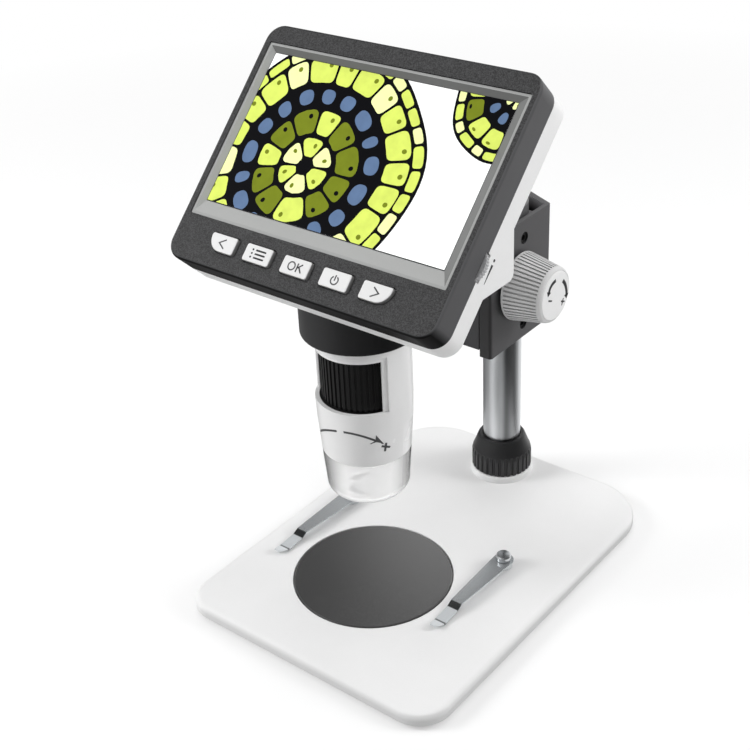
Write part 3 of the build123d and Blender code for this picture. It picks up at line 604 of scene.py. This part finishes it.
# painted light and shade: the surround's faces turned left and down are darker, those turned right and up
# lighter
surroundGrey = {"colour": (0.38, 0.385, 0.38), "roughness": (0.4, 0.48), "fleck": 0.04, "softEdge": 0.15,
                "sides": (((-1, 0, 0), 0.2, 0.5, 0.33), ((0, -0.7071, -0.7071), 0.2, 0.5, 0.36),
                          ((1, 0, 0), 0.2, 0.5, 1.35), ((0, 0.7071, 0.7071), 0.2, 0.5, 1.25))}
# painted shade: the keys' side walls are darker
keyWhite = {"colour": (0.78, 0.78, 0.78), "roughness": (0.3, 0.38), "softEdge": 0.2, "fleck": 0.01,
            "sides": (((0, 0.7071, -0.7071), -0.88, -0.5, 0.30),)}
wheelGrey = {"colour": (0.50, 0.50, 0.51), "roughness": (0.4, 0.5), "softEdge": 0.15, "edgeTone": 1.3}
dress(bezelGrainAndShade("bezelDark", bezelDark, bezelFace), ["front_bezel"])
dress(plastic("shellWhite", shellWhite), ["rear_shell"])
dress(plastic("surroundGrey", surroundGrey), ["screen_surround"])
dress(plastic("keyWhite", keyWhite), ["key_back", "key_menu", "key_ok", "key_power", "key_next"])
dress(plastic("wheelGrey", wheelGrey), ["dimmer_wheel"])
panelDark = {"colour": (0.02, 0.02, 0.024), "roughness": (0.1, 0.15), "specular": 0.6}
dress(plastic("panelDark", panelDark), ["lcd_panel"])
backTray = {"colour": (0.66, 0.66, 0.67), "roughness": (0.3, 0.4)}
dress(metal("backTray", backTray), ["lcd_backlight", "usb_socket", "card_socket", "key_switches"])
chipBlack = {"colour": (0.025, 0.025, 0.026), "roughness": (0.5, 0.6), "fleck": 0.2, "fleckSize": 0.3}
dress(plastic("chipBlack", chipBlack), ["board_parts", "dimmer_control"])
cellFoil = {"colour": (0.7, 0.71, 0.73), "roughness": (0.28, 0.42), "lineSize": 1.5, "grainDepth": 0.05,
            "bump": 0.5}
dress(metal("cellFoil", cellFoil), ["battery_cell"])
print("finishes on", len(nodes), "nodes")


inkLook = {"colour": (0.025, 0.025, 0.027), "roughness": (0.5, 0.6), "fleck": 0.15, "fleckSize": 0.12,
           "grain": 0.1, "softEdge": 0.02}
inkDark = plastic("inkDark", inkLook)
inkSoft = plastic("inkSoft", {**inkLook, "colour": (0.075, 0.075, 0.078)})


def addPiece(name, mesh, body, materials):
    piece = bpy.data.objects.new(name, mesh)
    scene.collection.objects.link(piece)
    for material in materials:
        mesh.materials.append(material)
    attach(piece, body)
    return piece


def divide(path, step):
    points = [Vector(path[0])]
    for start, end in zip(path, path[1:]):
        start, end = Vector(start), Vector(end)
        count = max(1, math.ceil((end - start).length / step))
        points += [start.lerp(end, k / count) for k in range(1, count + 1)]
    return points


def square(along):
    # a quarter turn to the left, in the flat
    return Vector((-along.y, along.x))


def stroke(path, width, closed=False, tip=None, step=0.5):
    # a ribbon's quads along a path in the flat, with round ends; tip narrows the far end
    points = divide([*path, path[0]] if closed else path, step)
    if closed:
        points.pop()
    count = len(points)
    sides = []
    for k, point in enumerate(points):
        before = points[k - 1] if k or closed else points[k]
        after = points[(k + 1) % count] if k < count - 1 or closed else points[k]
        arrive, leave = (point - before), (after - point)
        arrive = arrive.normalized() if arrive.length > 1e-9 else leave.normalized()
        leave = leave.normalized() if leave.length > 1e-9 else arrive
        along = (arrive + leave).normalized()
        share = k / max(1, count - 1)
        half = width / 2 * (1 if tip is None else 1 + (tip - 1) * share)
        half /= max(0.5, along.dot(leave))  # keeps the width round a corner, up to twice as far out
        across = square(along)
        sides.append((point + across * half, point - across * half, along, half))
    faces = []
    for k in range(count if closed else count - 1):
        a, b = sides[k], sides[(k + 1) % count]
        faces.append([a[1], b[1], b[0], a[0]])
    if not closed:
        for end, sign in ((sides[0], -1), (sides[-1], 1)):
            left, right, along, half = end
            middle = (left + right) / 2
            turn = math.atan2(along.y, along.x)
            arc = [middle + half * Vector((math.cos(turn + sign * a), math.sin(turn + sign * a)))
                   for a in (math.radians(d) for d in (-90, -60, -30, 0, 30, 60, 90))]
            arc[0], arc[-1] = (right, left) if sign > 0 else (left, right)
            faces.append(arc)
    return faces


def circlePath(x, y, radius, start=0, end=360, count=32):
    angles = [math.radians(start + (end - start) * k / count) for k in range(count + 1)]
    path = [(x + radius * math.cos(a), y + radius * math.sin(a)) for a in angles]
    return path[:-1] if end - start == 360 else path


def printMark(name, groups, place, body, material, lift=0.03, sink=0.02):
    # groups of flat faces become one raised print; place(x, y, height) gives the point on the object
    mesh = bpy.data.meshes.new(name)
    flat = bmesh.new()
    for faces in groups:
        corners = {}
        for face in faces:
            loop = []
            for point in face:
                key = (round(point[0], 4), round(point[1], 4))
                if key not in corners:
                    corners[key] = flat.verts.new(place(key[0], key[1], lift))
                if corners[key] not in loop:
                    loop.append(corners[key])
            if len(loop) > 2:
                flat.faces.new(loop)
    bmesh.ops.recalc_face_normals(flat, faces=flat.faces)
    flat.to_mesh(mesh)
    flat.free()
    piece = addPiece(name, mesh, body, [material])
    thick = piece.modifiers.new("ink", "SOLIDIFY")
    thick.thickness, thick.offset = (lift + sink) * mm, -1
    return piece


def turnOut(mesh, toward):
    # turns the whole mesh to look along a direction
    if mesh.polygons and mesh.polygons[0].normal.dot(toward) < 0:
        mesh.flip_normals()


keyPrints = {
    "v": -33.5, "level": 1.1, "line": 0.42,
    "menuLine": 0.54, "menuDot": 0.34, "menuRows": (1.25, 0.0, -1.25),
    "back": {"u": -31.1, "body": "key_back"}, "menu": {"u": -16.2, "body": "key_menu"},
    "ok": {"u": -0.8, "body": "key_ok"}, "power": {"u": 14.6, "body": "key_power"},
    "next": {"u": 29.8, "body": "key_next"},
}


def makeKeyPrints(look):
    # each mark is drawn about the middle of its key, in millimetres
    line = look["line"]
    marks = {
        "back": [stroke([(1.15, 1.5), (-1.2, 0.0), (1.15, -1.5)], line)],
        "next": [stroke([(-1.15, 1.5), (1.2, 0.0), (-1.15, -1.5)], line)],
        "menu": [stroke([(-1.1, y), (2.75, y)], look["menuLine"]) for y in look["menuRows"]]
                + [[circlePath(-2.3, y, look["menuDot"], count=12)] for y in look["menuRows"]],
        "ok": [stroke(circlePath(-1.45, 0, 1.28), line, closed=True),
               stroke([(0.75, 1.3), (0.75, -1.3)], line),
               stroke([(2.5, 1.3), (0.98, -0.05)], line),
               stroke([(1.35, 0.25), (2.6, -1.3)], line)],
        "power": [stroke(circlePath(0, -0.25, 1.3, 125, 415), line),
                  stroke([(0, 1.45), (0, -0.2)], line)],
    }
    for key, groups in marks.items():
        u = look[key]["u"]
        piece = printMark("print_" + key, groups,
                          lambda x, y, height, u=u: onHead(u + x, look["v"] + y, look["level"] + height),
                          look[key]["body"], inkDark if key == "menu" else inkSoft)
        turnOut(piece.data, onHead(0, 0, 1) - onHead(0, 0, 0))


tubePrint = {
    "axisY": -23.73, "line": 0.80,
    # the tube's radius at three heights, from the foot of its taper to where it is straight
    "foot": (63.7, 15.4), "waist": (76.0, 16.25), "straight": (84.0, 16.5),
    "crest": (5.0, 77.4), "fall": (0.026, 0.0366),  # the arched line's top, how fast it falls each way
    "leftRun": (-9.8, 0.65, 17), "rightRun": (3.6, 0.57, 20),  # first point, step, points
    "arrow": (14.0, 14.6), "headLong": 3.1, "headBack": 1.5, "headNotch": 0.4, "headHalf": 2.0,
    "plus": (17.75, 70.95),
}


def onTube(look, angle, height, lift):
    # angle in degrees round the tube from the front, height in millimetres
    (foot, footRadius), (waist, radius), (straight, fullRadius) = (
        look["foot"], look["waist"], look["straight"])
    if height < waist:
        radius += (footRadius - radius) * (waist - height) / (waist - foot)
    else:
        radius += (fullRadius - radius) * min(1, (height - waist) / (straight - waist))
    a = math.radians(angle)
    return Vector((math.sin(a) * (radius + lift) * mm, (look["axisY"] - math.cos(a) * (radius + lift)) * mm,
                   height * mm))


def makeTubePrint(look):
    # x is millimetres round the tube from its front, y the height
    crestX, crestY = look["crest"]
    line = look["line"]

    def arch(x):
        return Vector((x, crestY - look["fall"][x > crestX] * (x - crestX) ** 2))

    lines = []
    for first, step, count in (look["leftRun"], look["rightRun"]):
        lines.append(stroke([arch(first + step * k) for k in range(count)], line, step=0.7))
    before, end = (arch(x) for x in look["arrow"])
    along = (end - before).normalized()
    across, back = square(along), end - along * look["headBack"]
    head = [end + along * look["headLong"], back + across * look["headHalf"],
            end - along * look["headNotch"], back - across * look["headHalf"]]
    plus = Vector(look["plus"])
    groups = [*lines, [head]]
    groups += [stroke([plus + Vector((-1.45, 0.6)), plus + Vector((1.45, -0.6))], line, step=0.4),
               stroke([plus + Vector((0.22, 1.5)), plus + Vector((0.07, 0.3))], line),
               stroke([plus - Vector((0.07, 0.3)), plus - Vector((0.22, 1.5))], line)]
    piece = printMark("print_tube", groups,
                      lambda x, y, height: onTube(look, math.degrees(x / look["waist"][1]), y, height),
                      "head", inkSoft)
    turnOut(piece.data, Vector((0.3, -1, 0)))


capPrint = {
    "axis": (47.8, 97.4), "face": 30.25, "turn": -24, "line": 1.4,
    "arcs": (((-2.8, 5.6), (-4.6, 4.2), (-5.5, 2.6), (-5.6, 1.2)),
             ((2.4, 5.7), (4.9, 4.25), (6.9, 2.1), (7.5, 0.9))),
    "headHalf": 1.45, "headLong": 1.8,
    "signs": ((-3.4, -1.9), (6.0, -1.9)),  # minus, plus
    "signLine": 0.62, "signArm": 1.2, "signGap": 0.33,
}


def smoothPath(points, count=5):
    # a curve through the points
    ends = [Vector(p) for p in points]
    ends = [2 * ends[0] - ends[1], *ends, 2 * ends[-1] - ends[-2]]
    path = [ends[1]]
    for a, b, c, d in zip(ends, ends[1:], ends[2:], ends[3:]):
        for k in range(1, count + 1):
            t = k / count
            path.append(0.5 * (2 * b + (c - a) * t + (2 * a - 5 * b + 4 * c - d) * t * t
                               + (3 * b - a - 3 * c + d) * t ** 3))
    return path


def makeCapPrint(look):
    turn = math.radians(look["turn"])
    line, thin = look["line"], look["signLine"]
    wide, high = Vector((look["signArm"], 0)), Vector((0, look["signArm"]))
    gap = Vector((0, look["signGap"]))
    minus, plus = (Vector(p) for p in look["signs"])
    for side, name in ((1, "print_knob_right"), (-1, "print_knob_left")):
        groups = []
        for arc in look["arcs"]:
            path = smoothPath(arc)
            groups.append(stroke(path, line, step=0.4))
            end = path[-1]
            along = (end - path[-2]).normalized()
            across = square(along) * look["headHalf"]
            groups.append([[end + across, end - across, end + along * look["headLong"]]])
        groups += [stroke([minus - wide, minus + wide], thin),
                   stroke([plus - wide, plus + wide], thin, step=0.4),
                   stroke([plus + high, plus + gap], thin), stroke([plus - gap, plus - high], thin)]

        def place(x, y, height, side=side):
            across = x * math.cos(turn) - y * math.sin(turn)
            upward = x * math.sin(turn) + y * math.cos(turn)
            return Vector((side * (look["face"] + height) * mm, (look["axis"][0] + side * across) * mm,
                           (look["axis"][1] + upward) * mm))

        piece = printMark(name, groups, place, "focus_knobs", inkDark)
        turnOut(piece.data, Vector((side, 0, 0)))


dimmerPrint = {
    "side": 52.85, "dot": (-10.8, -13.95), "dotRadius": 0.5,
    "wedge": ((-12.2, -14.0), (-18.3, -14.1)), "wedgeWidth": 1.1, "wedgeTip": 0.22,  # tip as a share
}


def makeDimmerPrint(look):
    groups = [[circlePath(*look["dot"], look["dotRadius"], count=16)],
              stroke(look["wedge"], look["wedgeWidth"], tip=look["wedgeTip"])]
    piece = printMark("print_dimmer", groups,
                      lambda v, n, height: onHead(look["side"] + height, v, n), "head", inkDark)
    turnOut(piece.data, Vector((1, 0, 0)))


makeKeyPrints(keyPrints)
makeTubePrint(tubePrint)
makeCapPrint(capPrint)
makeDimmerPrint(dimmerPrint)
print("prints on keys, tube, knobs and dimmer")


# the picture: a plant stem cut across, magnified, as rings of walled cells
pictureLook = {
    "width": 93.8, "height": 53.4, "u": -0.6, "v": 6.1, "level": -1.84, "layer": 0.012,
    "glow": 0.34, "roughness": 0.16, "specular": 0.12,
    "mottleSize": 4, "mottle": 0.16, "plainMottle": 0.03,
    "tints": {"white": (0.84, 0.85, 0.84), "black": (0.004, 0.004, 0.005), "olive": (0.15, 0.185, 0.014),
              "lime": (0.56, 0.66, 0.12), "cream": (0.74, 0.79, 0.36), "blue": (0.095, 0.15, 0.26)},
    "seed": 11,
}
cellLook = {
    "points": 28, "wall": 0.9, "jitter": 0.14, "depthJitter": 0.008,
    "square": 0.42, "blueSquare": 0.8, "blueInset": 0.13,  # square: 1 is round, less is boxier
    # a speck in each cell deeper than speckFrom: its edges below the cell's rim, where it starts, width
    "speckFrom": 0.15, "speck": (0.035, 0.075), "speckStart": 0.2, "speckWidth": 1.7,
}
stemSections = [
    # rings from the skin inward: outer and inner edge as shares of the radius, cells, their tints
    {"centre": (31.0, 19.0), "radius": 42.0, "turn": 8, "rings": (
        (0.975, 0.895, 34, ("lime", "lime", "cream")), (0.875, 0.68, 22, ("lime", "lime", "lime", "cream")),
        (0.625, 0.50, 17, ("blue",)), (0.455, 0.26, 11, ("olive", "olive", "lime")),
        (0.225, 0.07, 6, ("cream", "lime")))},
    {"centre": (93.0, 55.0), "radius": 21.0, "turn": 20, "rings": (
        (0.96, 0.84, 22, ("lime", "cream")), (0.79, 0.52, 13, ("lime", "olive", "lime")),
        (0.43, 0.26, 9, ("blue",)), (0.18, 0.02, 3, ("cream",)))},
]


rimWave = {"broad": 0.022, "fine": 0.012}  # as shares of the radius


def sectionPoint(section, share, angle):
    # the rim waves a little, as a cut stem does
    wave = 1 + rimWave["broad"] * math.sin(3 * angle + section["turn"])
    wave += rimWave["fine"] * math.sin(7 * angle)
    reach = section["radius"] * share * wave
    return (section["centre"][0] + reach * math.cos(angle), section["centre"][1] + reach * math.sin(angle))


def wallCell(look, section, outer, inner, start, end, boxy):
    # one rounded cell between two shares of the radius and two angles
    loop = []
    for k in range(look["points"]):
        a = 2 * math.pi * k / look["points"]
        x = math.copysign(abs(math.cos(a)) ** boxy, math.cos(a))
        y = math.copysign(abs(math.sin(a)) ** boxy, math.sin(a))
        loop.append(sectionPoint(section, (outer + inner) / 2 + y * (outer - inner) / 2,
                                 (start + end) / 2 + x * (end - start) / 2))
    return loop


def sectionShapes(section, chance, look):
    turns = [2 * math.pi * k / 90 for k in range(90)]
    shapes = [("black", 1, [sectionPoint(section, 1.0, a) for a in turns])]
    for outer, inner, count, tints in section["rings"]:
        pitch = 2 * math.pi / count
        halfWall = look["wall"] / (section["radius"] * (outer + inner) / 2) / 2  # as an angle
        walls = [pitch * (k + chance.uniform(-look["jitter"], look["jitter"])) for k in range(count)]
        walls.append(walls[0] + 2 * math.pi)
        for k in range(count):
            tint = tints[k % len(tints)]
            deep = inner + chance.uniform(-look["depthJitter"], look["depthJitter"])
            start, end = walls[k] + halfWall, walls[k + 1] - halfWall
            if tint == "blue":
                inset = pitch * look["blueInset"]
                cell = wallCell(look, section, outer, deep, start + inset, end - inset, look["blueSquare"])
                shapes.append((tint, 2, cell))
                continue
            shapes.append((tint, 2, wallCell(look, section, outer, deep, start, end, look["square"])))
            if outer - inner > look["speckFrom"]:
                top, low = look["speck"]
                start += pitch * look["speckStart"]
                speck = wallCell(look, section, outer - top, outer - low, start,
                                 start + look["speckWidth"] / (section["radius"] * outer), 1.0)
                shapes.append(("olive" if tint != "olive" else "black", 3, speck))
    return shapes


def clipToScreen(sheet, wide, high):
    for point, normal in (((0, 0, 0), (-1, 0, 0)), ((wide, 0, 0), (1, 0, 0)), ((0, 0, 0), (0, -1, 0)),
                          ((0, high, 0), (0, 1, 0))):
        bmesh.ops.bisect_plane(sheet, geom=sheet.verts[:] + sheet.edges[:] + sheet.faces[:],
                               plane_co=point, plane_no=normal, clear_outer=True, dist=1e-5)


def pictureInk(look, tint):
    colour = look["tints"][tint]
    material, tree, shader = newFinish("picture" + tint.capitalize())
    where = put(tree, "TexCoord").outputs["Object"]
    vary = look["plainMottle"] if tint in ("white", "black") else look["mottle"]
    tone = blendColour(tree, noise(tree, where, look["mottleSize"], 3), toned(colour, 1 - vary),
                       toned(colour, 1 + vary))
    tree.links.new(tone, shader.inputs["Base Color"])
    tree.links.new(tone, shader.inputs["Emission Color"])
    shader.inputs["Emission Strength"].default_value = look["glow"]
    shader.inputs["Roughness"].default_value = look["roughness"]
    shader.inputs["Specular IOR Level"].default_value = look["specular"]
    return material


def makePicture(look, sections):
    wide, high = look["width"], look["height"]
    tints = list(look["tints"])
    chance = random.Random(look["seed"])
    shapes = [("white", 0, [(0, 0), (wide, 0), (wide, high), (0, high)])]
    for section in sections:
        shapes += sectionShapes(section, chance, cellLook)
    sheet = bmesh.new()
    for tint, layer, loop in shapes:
        face = sheet.faces.new([sheet.verts.new((x, y, layer)) for x, y in loop])
        face.material_index = tints.index(tint)
        face.normal_update()
        if face.normal.z < 0:
            face.normal_flip()
    clipToScreen(sheet, wide, high)
    bmesh.ops.triangulate(sheet, faces=sheet.faces)
    for vert in sheet.verts:
        x, y, layer = vert.co
        vert.co = onHead(x - wide / 2 + look["u"], y - high / 2 + look["v"],
                         look["level"] + layer * look["layer"])
    mesh = bpy.data.meshes.new("screen_picture")
    sheet.to_mesh(mesh)
    sheet.free()
    addPiece("screen_picture", mesh, "head", [pictureInk(look, tint) for tint in tints])


makePicture(pictureLook, stemSections)
print("picture on the screen")
